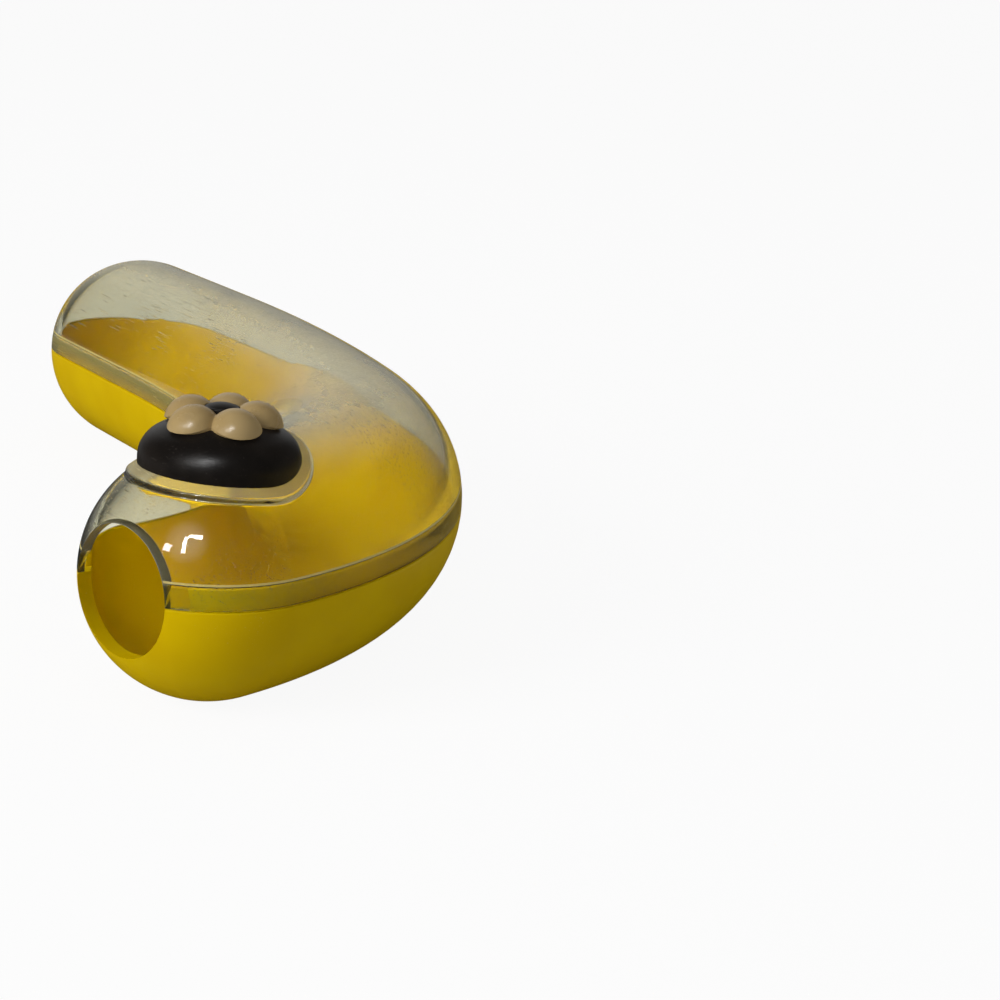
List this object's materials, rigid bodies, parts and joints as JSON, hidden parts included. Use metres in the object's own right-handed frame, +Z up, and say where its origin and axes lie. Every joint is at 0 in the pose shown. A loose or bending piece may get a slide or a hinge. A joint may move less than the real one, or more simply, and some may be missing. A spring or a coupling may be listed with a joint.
{
  "type": "banana carrying case",
  "caption": "Bent round hard case for one banana: opaque tray, clear lift-off lid with a lip-and-skirt joint, stem hole at one end and a domed blossom badge.",
  "frame": {"origin": "middle of the case's outline in plan, on the surface that it rests on", "axes": "+Z up, the way the lid lifts; +X along the straight arm towards the bend; the stem hole looks towards -Y"},
  "size_m": [0.2252, 0.1178, 0.0559],
  "materials": {
    "tray": "glossy moulded yellow",
    "lid": "clear moulding, faintly smoky, lightly scuffed",
    "dome": "satin dark brown",
    "blossom": "semi-gloss cream",
    "stud": "satin dark brown"
  },
  "bodies": {
    "tray_body": {"tray": "tray"},
    "lid_body": {"lid": "lid", "badge_dome": "dome", "badge_blossom": "blossom", "badge_stud": "stud"}
  },
  "joints": [
    {"name": "lid_lift", "type": "slide", "parent": "tray_body", "child": "lid_body", "axis": [0, 0, 1], "range_m": [0, 0.06]}
  ]
}
